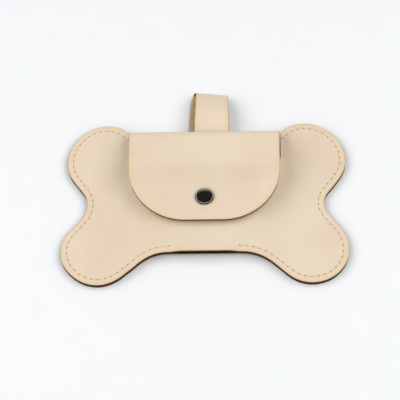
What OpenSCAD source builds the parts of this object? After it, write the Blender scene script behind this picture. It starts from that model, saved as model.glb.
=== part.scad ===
// Bone-shaped leather pouch for a roll of dog poop bags, lying on its back.
// Millimetres. +X runs along the bone, +Y points to the hanging loop, +Z up.
// The origin is under the middle of the bone, on the face that the pouch rests on.

/* [Bone outline] */
// From the middle to the centre of an end lobe, along the bone
lobe_x = 55; // [53:0.1:58]
// From the middle to the centre of a lobe, across the bone
lobe_y = 26.5; // [25.5:0.1:28.5]
// Radius of a lobe
lobe_r = 19.6; // [18:0.1:21]
// Half length of the bone at the notch between the lobes
waist_x = 62.4; // [60:0.1:65]
// Radius inside the notch
waist_r = 11.6; // [9:0.1:12.5]
// Half width of the bone's straight shaft
shaft_y = 29.6; // [28:0.1:31]
// Half length of the shaft's straight edge
shaft_x = 19.6; // [18.5:0.1:21]
// Radius of the shaft's turn into a lobe
fillet_r = 24.1; // [20:0.1:26]

/* [Leather] */
// Thickness of the panels
leather_t = 1.5; // [1.2:0.1:1.8]
// Distance of the stitching from the edge
seam_inset = 3.2; // [2.8:0.1:3.8]
// Length of one stitch with the hole after it
stitch_pitch = 3.4; // [3:0.1:4.5]
// Thickness of the waxed thread
thread_d = 0.5; // [0.3:0.05:0.7]
// Half length of the unsewn slot that the bags come out of
slot_x = 18.1; // [16:0.1:19]
// Height of that slot in its middle
slot_h = 1.6; // [1.2:0.1:2.2]
// How far the upper lobes stand up beside the flap
lobe_lift = 5; // [3:0.5:9]

/* [Flap] */
// Width of the flap
flap_w = 79.9; // [75:0.1:81]
// Radius of the flap's front corners
flap_corner_r = 30; // [26:0.5:34]
// How far the flap reaches past the bone's middle
flap_reach = 14.2; // [12:0.1:16]
// Where the leather starts to bend up into the fold
fold_y = 31.2; // [30.5:0.1:33]

/* [Snap] */
// Place of the snap, from the bone's middle
snap_y = -0.8; // [-2:0.1:0]
// Diameter of the domed cap
cap_d = 10.2; // [9:0.1:11]
// Height of the dome above the flap
cap_h = 2.3; // [1.8:0.1:2.8]
// Diameter of the socket under the flap
socket_d = 9.4; // [9:0.1:10]
// Thickness of the socket
socket_h = 1.9; // [1.8:0.1:2.2]
// Diameter of the stud's head
stud_head_d = 3.8; // [3.4:0.1:4]
// Diameter of the stud's foot and of the eyelet's flange
stud_foot_d = 7.8; // [7:0.1:8]
// Thickness of the sheet metal in the snap
sheet_t = 0.5; // [0.4:0.05:0.55]
// Outer diameter of the posts that go through the leather
post_d = 2.8; // [2.4:0.1:2.9]

/* [Hanging loop] */
// Width of the strap
strap_w = 19; // [16:0.5:20]
// Thickness of the strap
strap_t = 1.5; // [1.3:0.1:1.7]
// Place of the strap's front run, beside the bone's middle
strap_x = 3.7; // [0:0.1:4]
// How far the back run is set off to the side where it is sewn
strap_skew = 3.4; // [0:0.1:5]
// Where the strap's bend at the top ends
loop_y = 67.7; // [64:0.1:75]
// Height of the middle of the front run's bulge, as a curve handle
loop_bulge = 16; // [14:0.5:18]
// Length of the sewn ends below the bone's middle
strap_end = 14; // [10:1:18]

/* [Bags] */
// Diameter of the part-used roll
roll_d = 9; // [8:0.5:11]
// Length of the roll, which is the folded width of a bag
roll_l = 60; // [56:0.5:61]
// Place of the roll's axis
roll_y = 21.5; // [21:0.1:22]
// Width of the loose end, gathered for the slot
film_w = 26; // [20:1:28]
// Thickness of the loose end's folded layers
film_t = 0.4; // [0.3:0.05:0.5]

/* [Hidden] */

LEATHER = [0.92, 0.84, 0.74];
THREAD = [0.82, 0.72, 0.58];
STEEL = [0.78, 0.79, 0.80];
FILM = [0.20, 0.24, 0.22];

lay_gap = 0.05;      // between pieces that lie on each other
thread_gap = 0.3;    // between the straight stitches and the curved leather under them
film_gap = 0.35;     // between the loose bag end and the leather under it
soft_gap = 0.25;     // between leather pieces that move apart
roll_gap = 0.35;     // between the roll and the leather round it
side_gap = 0.2;      // between the flap's sides and the lobes beside it
strap_gap = 0.1;     // between the strap's two runs
snap_gap = 0.1;      // between the stud's foot and the socket
stud_gap = 0.3;      // between the stud's head and the socket's bore
fit_gap = 0.05;      // between a post and its hole
eps = 0.01;

// ---- heights of the stack, from the table up ----
rise = 2 * strap_t + strap_gap + lay_gap;             // underside of the back panel over the strap
sewn_z = rise + leather_t + lay_gap;                  // underside of the front panel where it lies flat
roll_z = rise + leather_t + roll_gap + roll_d / 2;    // axis of the roll
roll_swell = roll_z + roll_d / 2 + roll_gap - sewn_z; // how far the roll lifts the front panel
snap_swell = slot_h + 0.7;                            // how far the eyelet and the film lift it
snap_stack = sheet_t + snap_gap + socket_h;           // from the front panel to the flap at the snap
over_roll_z = sewn_z + roll_swell + leather_t + soft_gap;  // underside of the flap over the roll
fold_ro = (over_roll_z + leather_t - rise) / 2;       // outer radius of the fold
fold_ri = fold_ro - leather_t;
fold_z = rise + fold_ro;
hinge_y = fold_y + fold_ro;
stud_z = sewn_z + snap_swell + leather_t;             // top of the front panel at the snap
cap_z = stud_z + snap_stack + leather_t;              // top of the flap at the snap

// ---- places along Y where the front panel changes height ----
slot_end = 19;                       // length of the rise from the slot to the snap
swell_from = snap_y + stud_foot_d / 2 + 1.4;
swell_to = roll_y - 1.5;
mouth_x = flap_w / 2 + side_gap;     // half width of the front panel's mouth
mouth_y = roll_y + roll_d / 2 + 0.5; // top edge of the front panel
back_y = fold_y - 2.1;               // top edge of the back panel, where the fold joins it

// ---- smooth step, arcs and tangents ----
function clamp01(u) = max(0, min(1, u));
function ease(u) = clamp01(u) * clamp01(u) * (3 - 2 * clamp01(u));
function polar(c, r, a) = c + r * [cos(a), sin(a)];
function arc(c, r, a0, a1, n) = [for (i = [0:n]) polar(c, r, a0 + (a1 - a0) * i / n)];
function between(p, q, n) = [for (i = [1:n]) p + (q - p) * i / (n + 1)];
function bearing(p, q) = atan2(q.y - p.y, q.x - p.x);
function last(list) = list[len(list) - 1];
function reversed(list) = [for (i = [len(list) - 1:-1:0]) list[i]];

// ---- the bone's outline: one quarter, drawn in by inset, from the notch to the shaft ----
// a hollow's radius, kept just short of the one at which its circle would touch the lobe's:
// ahead and aside lead from the lobe's centre to the hollow's deepest point
function hollow_r(wanted, ahead, aside) =
    min(wanted, 0.98 * (ahead * ahead + aside * aside - lobe_r * lobe_r) / (2 * (lobe_r - ahead)));
notch_r = hollow_r(waist_r, waist_x - lobe_x, lobe_y);
turn_r = hollow_r(fillet_r, shaft_y - lobe_y, lobe_x - shaft_x);
lobe_c = [lobe_x, lobe_y];
notch_c = [waist_x + notch_r, 0];
turn_c = [shaft_x, shaft_y + turn_r];
// bearing of the straight flank's normal, on the notch's side and on the shaft's side
notch_a = bearing(lobe_c, notch_c) + acos((lobe_r + notch_r) / norm(notch_c - lobe_c));
flank_a = bearing(lobe_c, turn_c) - acos((lobe_r + turn_r) / norm(turn_c - lobe_c));

function end_arcs(inset, lobe_n) = let(
    notch = arc(notch_c, notch_r + inset, 180, 180 + notch_a, 3),
    lobe = arc(lobe_c, lobe_r - inset, notch_a, flank_a, lobe_n)
) concat(notch, between(last(notch), lobe[0], 1), lobe);

// the flank is straight: its height at a given x
function flank_y(x, inset) = let(p = polar(lobe_c, lobe_r - inset, flank_a))
    p.y - (x - p.x) * cos(flank_a) / sin(flank_a);
neck_y = flank_y(mouth_x, 0);        // where the mouth's side meets the outline

function shaft_quarter(inset, lobe_n, edge_n) = let(
    e = end_arcs(inset, lobe_n),
    turn = arc(turn_c, turn_r + inset, 180 + flank_a, 270, 4)
) concat(e, between(last(e), turn[0], 1), turn, between(last(turn), [0, shaft_y - inset], edge_n),
    [[0, shaft_y - inset]]);

function mouth_quarter(edge_y, lobe_n, edge_n) = let(
    e = end_arcs(0, lobe_n),
    k = [mouth_x, neck_y],
    m = [mouth_x, edge_y]
) concat(e, [k], between(k, m, 1), [m], between(m, [0, edge_y], edge_n), [[0, edge_y]]);

// the whole panel, anticlockwise from the notch at +X; the top is cut straight for the mouth
LOBE_N = 13;
EDGE_N = 3;
function panel_outline(edge_y) = let(
    top = mouth_quarter(edge_y, LOBE_N, EDGE_N + 1),
    low = shaft_quarter(0, LOBE_N, EDGE_N)
) concat(top,
    [for (i = [len(top) - 2:-1:0]) [-top[i].x, top[i].y]],
    [for (i = [1:len(low) - 1]) [-low[i].x, -low[i].y]],
    [for (i = [len(low) - 2:-1:1]) [low[i].x, -low[i].y]]);

// ---- heights of the leather ----
// underside of the back panel: over the strap in the middle, down on the table at the ends,
// and up beside the flap's fold
droop = [16, 54];          // half lengths between which the bone sinks to the table
lift_in = [22, 46];        // half lengths between which the upper lobes begin to lift
lift_out = [42, 76];       // and end
lift_y = [16, 44];         // how far up the lift begins and ends
function seat(x, y) = let(ax = abs(x))
    rise * (1 - ease((ax - droop[0]) / (droop[1] - droop[0])))
    + lobe_lift * ease((y - lift_y[0]) / (lift_y[1] - lift_y[0]))
        * ease((ax - lift_in[0]) / (lift_in[1] - lift_in[0]))
        * (1 - ease((ax - lift_out[0]) / (lift_out[1] - lift_out[0])));

// how far the front panel stands off the back one: half lengths where the swelling starts to
// fall and where it ends, from the slot up to the mouth; over the roll the panel runs level
function swell_in(y) = lookup(y, [[-shaft_y, slot_x - 6], [-12, 20], [5, roll_l / 2 + 0.6]]);
function swell_out(y) = lookup(y, [[-shaft_y, slot_x + 0.4], [-12, 40], [5, mouth_x + 4],
    [20, mouth_x + 4], [mouth_y, mouth_x + 6], [neck_y, mouth_x + 2.5]]);
function swell(x, y) = (1 - ease((abs(x) - swell_in(y)) / (swell_out(y) - swell_in(y))))
    * (slot_h + (snap_swell - slot_h) * clamp01((y + shaft_y) / slot_end)
    + (roll_swell - snap_swell + rise - seat(x, y))
        * ease((y - swell_from) / (swell_to - swell_from)));
function front_z(x, y) = seat(x, y) + leather_t + lay_gap + swell(x, y);

// ---- a leather panel: rings between the outline, a core line and the middle ----
core_y = 0.6 * mouth_y;
BAND = [0, 0.14, 0.33, 0.55, 0.78];   // rings from the outline to the core
CORE = [0, 0.25, 0.5, 0.75];          // rings from the core to the middle
function core_point(p, edge_y) = let(
    ax = abs(p.x),
    step_k = clamp01((p.y - edge_y) / (neck_y - edge_y)),
    tight = 0.96,
    wide = 1.1,
    k = p.y > 0 ? tight + (wide - tight) * step_k : wide,
    cx = ax <= mouth_x + eps ? ax * k : mouth_x * wide + (ax - mouth_x) / 4,
    cy = ax <= mouth_x + eps ? core_y : core_y * min(1, abs(p.y) / neck_y)
) [sign(p.x) * cx, sign(p.y) * cy];

module leather_panel(edge_y, heights) {
    rim = panel_outline(edge_y);
    n = len(rim);
    core = [for (p = rim) core_point(p, edge_y)];
    flat = concat([for (t = BAND) for (i = [0:n - 1]) rim[i] + (core[i] - rim[i]) * t],
        [for (t = CORE) for (i = [0:n - 1]) core[i] * (1 - t)], [[0, 0]]);
    rings = len(BAND) + len(CORE);
    m = len(flat);
    low = [for (p = flat) [p.x, p.y, heights(p.x, p.y)]];
    high = [for (p = low) p + [0, 0, leather_t]];
    top_faces = [for (r = [0:rings - 2]) for (i = [0:n - 1]) let(j = (i + 1) % n)
        each [[r * n + i, (r + 1) * n + i, (r + 1) * n + j], [r * n + i, (r + 1) * n + j, r * n + j]]];
    hub_faces = [for (i = [0:n - 1]) [(rings - 1) * n + i, m - 1, (rings - 1) * n + (i + 1) % n]];
    skin = concat(top_faces, hub_faces);
    walls = [for (i = [0:n - 1]) let(j = (i + 1) % n) each [[i, m + i, m + j], [i, m + j, j]]];
    polyhedron(concat(low, high),
        concat(reversed([for (f = skin) reversed(f)]), [for (f = skin) [f[0] + m, f[1] + m, f[2] + m]],
        walls), convexity = 6);
}

module back_panel() {
    color(LEATHER) leather_panel(back_y, function(x, y) seat(x, y));
}

module front_panel() {
    color(LEATHER) difference() {
        leather_panel(mouth_y, function(x, y) front_z(x, y));
        translate([0, snap_y, 0]) cylinder(h = cap_z, d = post_d + 2 * fit_gap, $fn = 48);
    }
}

// ---- the fold: a bend of leather along X, its lower half sewn to the pouch ----
module along_x(w) {
    rotate([90, 0, 90]) translate([0, 0, -w / 2]) linear_extrude(w) children();
}

module quarter_bend(lower) {
    translate([fold_y, fold_z]) difference() {
        circle(fold_ro, $fn = 96);
        circle(fold_ri, $fn = 96);
        translate([-2 * fold_ro, -2 * fold_ro]) square([2 * fold_ro, 4 * fold_ro]);
        translate([-eps, lower ? 0 : -2 * fold_ro]) square([2 * fold_ro, 2 * fold_ro]);
    }
}

module back_fold() {
    color(LEATHER) along_x(flap_w) {
        quarter_bend(true);
        translate([back_y + lay_gap, rise]) square([fold_y - back_y - lay_gap + eps, leather_t]);
    }
}

// underside of the flap along the middle of the bone, and its slope
function flap_under(y) = let(yy = min(y, mouth_y))
    sewn_z + swell(0, yy) + leather_t + soft_gap
    + (snap_stack - soft_gap) * (1 - ease((yy - swell_from) / (swell_to - swell_from)));
function flap_slope(y) = (flap_under(y + 0.1) - flap_under(y - 0.1)) / 0.2;

module flap_profile() {
    ys = [for (i = [0:28]) -flap_reach - 1 + (fold_y + eps + flap_reach + 1) * i / 28];
    polygon(concat([for (y = ys) [y, flap_under(y)]],
        reversed([for (y = ys) [y, flap_under(y) + leather_t * norm([1, flap_slope(y)])]])));
    quarter_bend(false);
}

module flap_plan() {
    r = flap_corner_r;
    translate([-flap_w / 2, r - flap_reach]) square([flap_w, hinge_y + flap_reach]);
    translate([r - flap_w / 2, -flap_reach]) square([flap_w - 2 * r, 2 * r]);
    for (s = [-1, 1]) translate([s * (flap_w / 2 - r), r - flap_reach]) circle(r, $fn = 128);
}

module flap() {
    color(LEATHER) difference() {
        intersection() {
            along_x(flap_w) flap_profile();
            linear_extrude(cap_z + 2 * fold_ro) flap_plan();
        }
        translate([0, snap_y, 0]) cylinder(h = 2 * cap_z, d = post_d + 2 * fit_gap, $fn = 48);
    }
}

// ---- stitches along a seam, lying on the front panel ----
function steps(path) = [for (i = [0:len(path) - 2]) norm(path[i + 1] - path[i])];
function sums(list, i = 0, total = 0) = i == len(list) ? [total]
    : concat([total], sums(list, i + 1, total + list[i]));

module stitches(path, height, side) {
    runs = sums(steps(path));
    xs = [for (i = [0:len(path) - 1]) [runs[i], path[i].x]];
    ys = [for (i = [0:len(path) - 1]) [runs[i], path[i].y]];
    count = floor(last(runs) / stitch_pitch);
    pitch = last(runs) / count;
    hole = 0.3;
    function spot(s) = let(x = lookup(s, xs), y = lookup(s, ys)) [x, y, height(side * x, y)];
    for (i = [0:count - 1]) {
        a = spot(pitch * (i + hole / 2));
        b = spot(pitch * (i + 1 - hole / 2));
        d = b - a;
        translate([side * (a.x + b.x) / 2, (a.y + b.y) / 2, (a.z + b.z) / 2 + thread_d / 4])
            rotate([0, 0, atan2(d.y, side * d.x)]) rotate([0, -asin(d.z / norm(d)), 0])
            cube([norm(d), thread_d, thread_d / 2], center = true);
    }
}

// the seam of one side, from the end of the slot round both lobes to the corner of the mouth
function seam_path() = let(
    low = shaft_quarter(seam_inset, 3 * LOBE_N, 20),
    arcs = end_arcs(seam_inset, 3 * LOBE_N),
    top_x = mouth_x + 1
) concat(reversed([for (p = low) if (p.x > slot_x) [p.x, -p.y]]),
    [for (i = [1:len(arcs) - 1]) arcs[i]], [[top_x, flank_y(top_x, seam_inset)]]);

module seam_thread(side) {
    color(THREAD) stitches(seam_path(), function(x, y) front_z(x, y) + leather_t + thread_gap, side);
}

// ---- the hanging loop: a strap folded over at the top, its ends sewn under the back panel ----
swing_y = fold_y + 1;               // the strap leaves its sewn ends here
upper_z = strap_t * 1.5 + strap_gap;
bend_r = 1.1 + strap_t / 2;         // the bend at the top, on the middle of the leather
bend_c = [loop_y - bend_r - strap_t / 2, strap_t / 2 + bend_r];
bend_tilt = 60;                     // where the front run meets the bend
drift_l = 18;                       // length over which the back run drifts to the side
front_run = [[swing_y, upper_z], [swing_y + 2, upper_z], [swing_y + 7, upper_z],
    [swing_y + 14, loop_bulge], polar(bend_c, bend_r, bend_tilt)];

function bezier(p, t) = pow(1 - t, 3) * p[0] + 3 * t * pow(1 - t, 2) * p[1]
    + 3 * t * t * (1 - t) * p[2] + pow(t, 3) * p[3];

// middle line of the strap as [y, z], from the upper sewn end round to the lower one
function loop_line() = concat(
    [front_run[0]],
    [for (i = [0:16]) bezier([for (k = [1:4]) front_run[k]], i / 16)],
    [for (i = [1:9]) polar(bend_c, bend_r, bend_tilt - (90 + bend_tilt) * i / 9)],
    [for (i = [1:6]) [bend_c.x + (swing_y - bend_c.x) * i / 6, strap_t / 2]]);

module hanging_loop() {
    line = loop_line();
    n = len(line);
    function ahead(i) = let(d = line[min(n - 1, i + 1)] - line[max(0, i - 1)]) d / norm(d);
    function side_x(i) = strap_x
        - (i < n - 7 ? 0 : strap_skew * ease((loop_y - line[i].x) / drift_l));
    function corner(i, sx, st) = let(a = i == 0 || i == n - 1 ? [i == 0 ? 1 : -1, 0] : ahead(i))
        [side_x(i) + sx * strap_w / 2, line[i].x - st * a.y * strap_t / 2,
        line[i].y + st * a.x * strap_t / 2];
    pts = [for (i = [0:n - 1]) each
        [corner(i, -1, -1), corner(i, 1, -1), corner(i, 1, 1), corner(i, -1, 1)]];
    skin = [for (i = [0:n - 2]) for (k = [0:3]) let(a = 4 * i + k, b = 4 * i + (k + 1) % 4)
        each [[a, a + 4, b + 4], [a, b + 4, b]]];
    e = 4 * (n - 1);
    color(LEATHER) polyhedron(pts,
        concat(skin, [[0, 1, 2], [0, 2, 3], [e, e + 2, e + 1], [e, e + 3, e + 2]]), convexity = 4);
}

module loop_strap_ends() {
    color(LEATHER) {
        translate([strap_x - strap_w / 2, -strap_end, strap_t + strap_gap])
            cube([strap_w, swing_y + strap_end, strap_t]);
        translate([strap_x - strap_skew - strap_w / 2, -strap_end, 0])
            cube([strap_w, swing_y + strap_end, strap_t]);
    }
}

// a box of stitches that shows on the inside of the back panel, under the roll
module loop_thread() {
    x0 = strap_x - strap_w / 2 + seam_inset;
    x1 = strap_x - strap_skew + strap_w / 2 - seam_inset;
    y0 = seam_inset - strap_end;
    y1 = roll_y - roll_d / 2 - seam_inset;
    box = [[x0, y0], [x1, y0], [x1, y1], [x0, y1], [x0, y0]];
    fine = [for (i = [0:3]) each concat([box[i]], between(box[i], box[i + 1], 8)), box[4]];
    color(THREAD) for (i = [0:3])
        stitches([for (j = [0:9]) fine[9 * i + j]],
            function(x, y) rise + leather_t + eps, 1);
}

// ---- the snap, turned about its own axis ----
bore_r = stud_head_d / 2 + stud_gap;
groove_r = bore_r + 0.55;
wire_r = 0.25;
socket_z = stud_z + sheet_t + snap_gap;    // underside of the socket
head_z = stud_z + sheet_t + 0.6;           // widest part of the stud's head
spring_z = socket_z + 0.55;

module at_snap(z) {
    translate([0, snap_y, z]) children();
}

// a domed cap with a rolled rim, and a hollow post through the leather into the socket
module snap_cap() {
    r = cap_d / 2;
    dome_r = (r * r + (cap_h - sheet_t) * (cap_h - sheet_t)) / (2 * (cap_h - sheet_t));
    post_l = leather_t + 0.7;
    color(STEEL) at_snap(cap_z + lay_gap) difference() {
        union() {
            intersection() {
                translate([0, 0, cap_h - dome_r]) sphere(dome_r, $fn = 96);
                cylinder(h = cap_h, r = r - sheet_t / 2, $fn = 96);
            }
            cylinder(h = sheet_t, r = r - sheet_t / 2, $fn = 96);
            rotate_extrude($fn = 96) translate([r - sheet_t / 2, sheet_t / 2])
                circle(sheet_t / 2, $fn = 12);
            translate([0, 0, -post_l]) cylinder(h = post_l + eps, d = post_d, $fn = 48);
        }
        translate([0, 0, -post_l - eps]) cylinder(h = post_l + cap_h / 2, d = post_d - 2 * sheet_t, $fn = 48);
    }
}

module snap_socket() {
    r = socket_d / 2;
    plate = 0.45;
    edge_r = 0.4;
    color(STEEL) at_snap(socket_z) rotate_extrude($fn = 96) difference() {
        union() {
            square([r - edge_r, socket_h - lay_gap]);
            translate([0, edge_r]) square([r, socket_h - lay_gap - edge_r]);
            translate([r - edge_r, edge_r]) circle(edge_r, $fn = 12);
        }
        translate([-1, -1]) square([1 + bore_r, 1 + socket_h - plate]);
        translate([0, spring_z - socket_z - wire_r - lay_gap]) square([groove_r, 2 * (wire_r + lay_gap)]);
        square([post_d / 2 + fit_gap, socket_h + 1]);
    }
}

// a split ring of wire in the socket's groove, which grips the stud below its head
module snap_spring() {
    color(STEEL) at_snap(spring_z) rotate([0, 0, 105]) rotate_extrude(angle = 330, $fn = 72)
        translate([groove_r - wire_r - lay_gap, 0]) circle(wire_r, $fn = 8);
}

module snap_stud() {
    neck_r = stud_head_d / 2 - 0.35;
    head_r = stud_head_d / 2;
    color(STEEL) at_snap(stud_z + lay_gap) difference() {
        union() {
            cylinder(h = sheet_t, d = stud_foot_d, $fn = 96);
            cylinder(h = head_z - stud_z, r = neck_r, $fn = 64);
            translate([0, 0, head_z - stud_z]) intersection() {
                sphere(head_r, $fn = 64);
                translate([0, 0, -0.4]) cylinder(h = 0.95, r = head_r, $fn = 64);
            }
        }
        translate([0, 0, -eps]) cylinder(h = sheet_t + 0.6, d = post_d + 2 * fit_gap, $fn = 48);
    }
}

module snap_eyelet() {
    post_l = leather_t + lay_gap + sheet_t + 0.4;
    color(STEEL) at_snap(stud_z - leather_t - sheet_t - lay_gap) difference() {
        union() {
            cylinder(h = sheet_t, d = stud_foot_d, $fn = 96);
            cylinder(h = sheet_t + post_l, d = post_d, $fn = 48);
        }
        translate([0, 0, -eps]) cylinder(h = sheet_t + post_l + 1, d = post_d - 2 * sheet_t, $fn = 48);
    }
}

// ---- the bags ----
module bag_roll() {
    bore_d = 1.6;
    color(FILM) along_x(roll_l) translate([roll_y, roll_z]) difference() {
        union() {
            circle(d = roll_d - film_t, $fn = 96);
            // the outermost turn ends in a step
            intersection() {
                circle(d = roll_d, $fn = 96);
                translate([-roll_d, -roll_d]) square([2 * roll_d, roll_d]);
            }
        }
        circle(d = bore_d, $fn = 32);
    }
}

module loose_bag_end() {
    hidden = 3;               // how far it stays inside the slot
    back = roll_y - roll_d / 4;
    front = hidden - shaft_y;
    color(FILM) translate([-film_w / 2, front, rise + leather_t + film_gap])
        cube([film_w, back - front, film_t]);
}

back_panel();
back_fold();
front_panel();
flap();
seam_thread(-1);  // seam_thread_left
seam_thread(1);  // seam_thread_right
hanging_loop();
loop_strap_ends();
loop_thread();
snap_cap();
snap_socket();
snap_spring();
snap_stud();
snap_eyelet();
bag_roll();
loose_bag_end();
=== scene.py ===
"""Bone-shaped leather pouch for dog waste bags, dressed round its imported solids.

Shapes are worked out in millimetres, as height functions and profiles on numpy grids, and put
into meshes in metres. +X runs along the bone, +Y points to the hanging loop, +Z is up.
"""

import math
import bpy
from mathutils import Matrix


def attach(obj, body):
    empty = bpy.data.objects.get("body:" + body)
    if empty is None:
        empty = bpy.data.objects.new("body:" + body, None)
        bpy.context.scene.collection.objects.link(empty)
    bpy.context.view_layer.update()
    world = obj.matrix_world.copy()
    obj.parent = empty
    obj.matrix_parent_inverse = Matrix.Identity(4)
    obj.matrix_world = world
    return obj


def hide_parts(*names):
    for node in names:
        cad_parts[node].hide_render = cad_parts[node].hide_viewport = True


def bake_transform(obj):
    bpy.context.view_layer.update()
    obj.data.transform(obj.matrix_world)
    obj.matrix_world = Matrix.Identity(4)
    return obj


bl_info = {
    "name": "Bone Pouch for Waste Bags",
    "version": (1, 0, 0),
    "blender": (4, 5, 0),
    "location": "View3D > Sidebar > Bone Pouch",
    "description": "Builds the leather, stitching, snap and bags of a bone-shaped pouch",
    "category": "Object",
}

from types import SimpleNamespace

import bmesh
import bpy
import numpy as np
from mathutils import Matrix, Vector

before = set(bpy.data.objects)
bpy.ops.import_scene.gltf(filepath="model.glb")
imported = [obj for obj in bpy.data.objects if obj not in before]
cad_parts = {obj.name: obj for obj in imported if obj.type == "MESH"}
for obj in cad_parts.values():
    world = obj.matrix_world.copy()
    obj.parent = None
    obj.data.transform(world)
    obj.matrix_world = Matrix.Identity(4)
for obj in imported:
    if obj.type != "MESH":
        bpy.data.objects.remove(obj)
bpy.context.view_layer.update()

MM = 0.001

# ---- the pouch's own sizes, in millimetres ----
LEATHER_T = 1.5
STRAP_T = 1.5
LAY_GAP = 0.05  # between pieces that lie on each other
STRAP_GAP = 0.1  # between the strap's two runs
SOFT_GAP = 0.25  # between the front panel and the flap
ROLL_GAP = 0.35  # between the roll and the leather round it
LOBE_R = 19.6
LOBE_C = np.array([55.0, 26.5])
WAIST_R = 11.6
WAIST_C = np.array([62.4 + WAIST_R, 0.0])
FILLET_R = 24.1
SHAFT_Y = 29.6  # half width of the shaft
FILLET_C = np.array([19.6, SHAFT_Y + FILLET_R])
SEAM_INSET = 3.2
STITCH_PITCH = 3.4
SLOT_X = 18.1  # half length of the unsewn slot
SLOT_H = 1.2  # its height in the middle
FLAP_W = 79.9
FLAP_CORNER_R = 30.0
FLAP_REACH = 14.2  # how far the flap reaches past the bone's middle
FOLD_Y = 31.2  # where the leather starts to bend up
SNAP_Y = -0.8
SNAP_SWELL = 2.3  # how far the eyelet lifts the front panel
SNAP_STACK = 0.5 + 0.1 + 1.9  # stud's foot, gap and socket
ROLL_D = 9.0
ROLL_L = 60.0
ROLL_Y = 21.5
LOBE_LIFT = 5.0  # how far the upper lobes stand up beside the flap

# ---- heights and places that follow from them ----
RISE = 2 * STRAP_T + STRAP_GAP + LAY_GAP  # underside of the back panel
SEWN_Z = RISE + LEATHER_T + LAY_GAP  # underside of the front panel at a seam
ROLL_Z = RISE + LEATHER_T + ROLL_GAP + ROLL_D / 2
ROLL_SWELL = ROLL_Z + ROLL_D / 2 + ROLL_GAP - SEWN_Z  # how far the roll lifts the front panel
OVER_ROLL_Z = SEWN_Z + ROLL_SWELL + LEATHER_T + SOFT_GAP
FOLD_RO = (OVER_ROLL_Z + LEATHER_T - RISE) / 2  # outer radius of the fold
FOLD_Z = RISE + FOLD_RO
MOUTH_X = FLAP_W / 2 + 0.2  # half width of the pocket's mouth
MOUTH_Y = ROLL_Y + ROLL_D / 2 + 0.5  # top edge of the front panel
BACK_Y = FOLD_Y - 2.1  # top edge of the back panel
STUD_Z = SEWN_Z + SNAP_SWELL + LEATHER_T
CAP_Z = STUD_Z + SNAP_STACK + LEATHER_T
SWING_Y = FOLD_Y + 1.0  # where the strap leaves its sewn ends


# ---- small numpy helpers ----
def ease(u):
    """Smooth step: 3u^2 - 2u^3 on 0..1, held at the ends."""
    u = np.clip(u, 0.0, 1.0)
    return u * u * (3 - 2 * u)


def grown(value, ends):
    """Smooth step from 0 at ends[0] to 1 at ends[1]."""
    return ease((value - ends[0]) / (ends[1] - ends[0]))


def polar(centre, radius, degrees):
    """Points on a circle."""
    a = np.radians(np.atleast_1d(degrees))
    return np.asarray(centre) + radius * np.column_stack([np.cos(a), np.sin(a)])


def bearing(p, q):
    """Direction from p to q, in degrees from +X."""
    return math.degrees(math.atan2(q[1] - p[1], q[0] - p[0]))


def arc(centre, radius, a0, a1, step):
    """Points on a circle from a0 to a1 degrees, at most step apart."""
    n = max(2, math.ceil(abs(radius * math.radians(a1 - a0)) / step))
    return polar(centre, radius, np.linspace(a0, a1, n + 1))


def straight(p, q, step):
    """Points from p to q, at most step apart."""
    n = max(1, math.ceil(np.linalg.norm(np.asarray(q) - p) / step))
    t = np.linspace(0, 1, n + 1)[:, None]
    return np.asarray(p) + (np.asarray(q) - p) * t


def unit(vectors):
    """The vectors, along the last axis, at length 1."""
    return vectors / np.linalg.norm(vectors, axis=-1)[..., None]


def chained(*runs):
    """Joins runs of points, leaving out each repeated joint."""
    return np.vstack([runs[0]] + [r[1:] for r in runs[1:]])


def along(points):
    """Distance from the first point to each point along the run."""
    return np.concatenate([[0], np.cumsum(np.linalg.norm(np.diff(points, axis=0), axis=1))])


def resampled(points, s):
    """Points at the distances s along a run."""
    d = along(points)
    return np.column_stack([np.interp(s, d, points[:, k]) for k in range(points.shape[1])])


# ---- the bone's outline ----
NOTCH_A = bearing(LOBE_C, WAIST_C) + math.degrees(
    math.acos((LOBE_R + WAIST_R) / np.linalg.norm(WAIST_C - LOBE_C)))
FLANK_A = bearing(LOBE_C, FILLET_C) - math.degrees(
    math.acos((LOBE_R + FILLET_R) / np.linalg.norm(FILLET_C - LOBE_C)))


def flank_y(x, inset=0.0):
    """Height of the straight flank between lobe and shaft, drawn in by inset."""
    p = polar(LOBE_C, LOBE_R - inset, FLANK_A)[0]
    return p[1] - (x - p[0]) / math.tan(math.radians(FLANK_A))


NECK_Y = flank_y(MOUTH_X)  # where the mouth's side meets the outline


def end_run(inset, step):
    """Notch arc, straight and lobe arc of one quarter."""
    notch = arc(WAIST_C, WAIST_R + inset, 180, 180 + NOTCH_A, step)
    lobe = arc(LOBE_C, LOBE_R - inset, NOTCH_A, FLANK_A, step)
    return chained(notch, straight(notch[-1], lobe[0], step), lobe)


def shaft_run(inset, step):
    """A whole lower quarter, from the notch to the middle of the shaft."""
    e = end_run(inset, step)
    turn = arc(FILLET_C, FILLET_R + inset, 180 + FLANK_A, 270, step)
    middle = np.array([0.0, SHAFT_Y - inset])
    return chained(e, straight(e[-1], turn[0], step), turn, straight(turn[-1], middle, step))


def mouth_run(edge_y, step):
    """A whole upper quarter, cut straight at edge_y between the lobes."""
    e = end_run(0.0, step)
    k = np.array([MOUTH_X, NECK_Y])
    m = np.array([MOUTH_X, edge_y])
    return chained(e, straight(e[-1], k, step), straight(k, m, step),
                   straight(m, np.array([0.0, edge_y]), step))


def panel_outline(edge_y, step):
    """The closed outline, anticlockwise, starting at the notch at +X."""
    top = mouth_run(edge_y, step)
    low = shaft_run(0.0, step)
    return np.vstack([top, (top * [-1, 1])[-2::-1], (low * -1)[1:], (low * [1, -1])[-2:0:-1]])


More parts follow.
